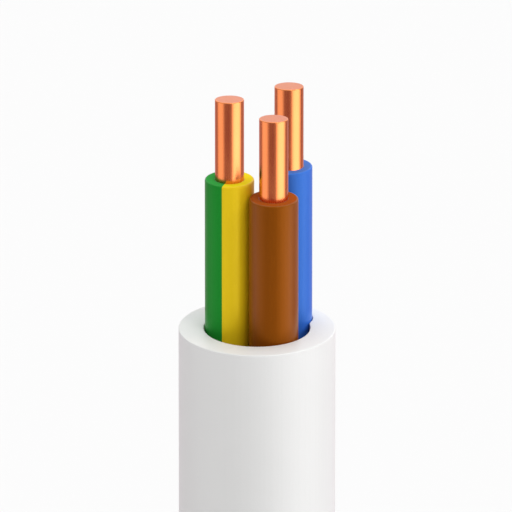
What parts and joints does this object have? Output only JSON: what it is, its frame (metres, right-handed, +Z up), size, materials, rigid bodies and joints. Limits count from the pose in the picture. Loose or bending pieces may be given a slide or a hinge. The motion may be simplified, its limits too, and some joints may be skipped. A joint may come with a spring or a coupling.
{
  "type": "coil of three-core sheathed electrical cable",
  "caption": "Flat-lying coil of white sheathed copper cable held by ties, its stripped end standing up with green-yellow, brown and blue cores and bare conductors.",
  "frame": {"origin": "centre of the coil at the level of the floor it lies on, under its ties", "axes": "+Z up along the coil's axis, the stripped end stands on the +Y side"},
  "size_m": [0.2134, 0.2134, 0.1414],
  "materials": {
    "sheath": "satin white PVC",
    "earth_insulation": "satin PVC, half green and half yellow along its length",
    "line_insulation": "satin brown PVC",
    "neutral_insulation": "satin blue PVC",
    "copper": null,
    "tie": "natural nylon"
  },
  "bodies": {
    "root": {"sheathed_coil": "sheath", "free_end_sheath": "sheath", "earth_insulation": "earth_insulation", "line_insulation": "line_insulation", "neutral_insulation": "neutral_insulation", "earth_conductor": "copper", "line_conductor": "copper", "neutral_conductor": "copper", "tie_1": "tie", "tie_2": "tie", "tie_3": "tie", "tie_4": "tie"}
  },
  "joints": []
}
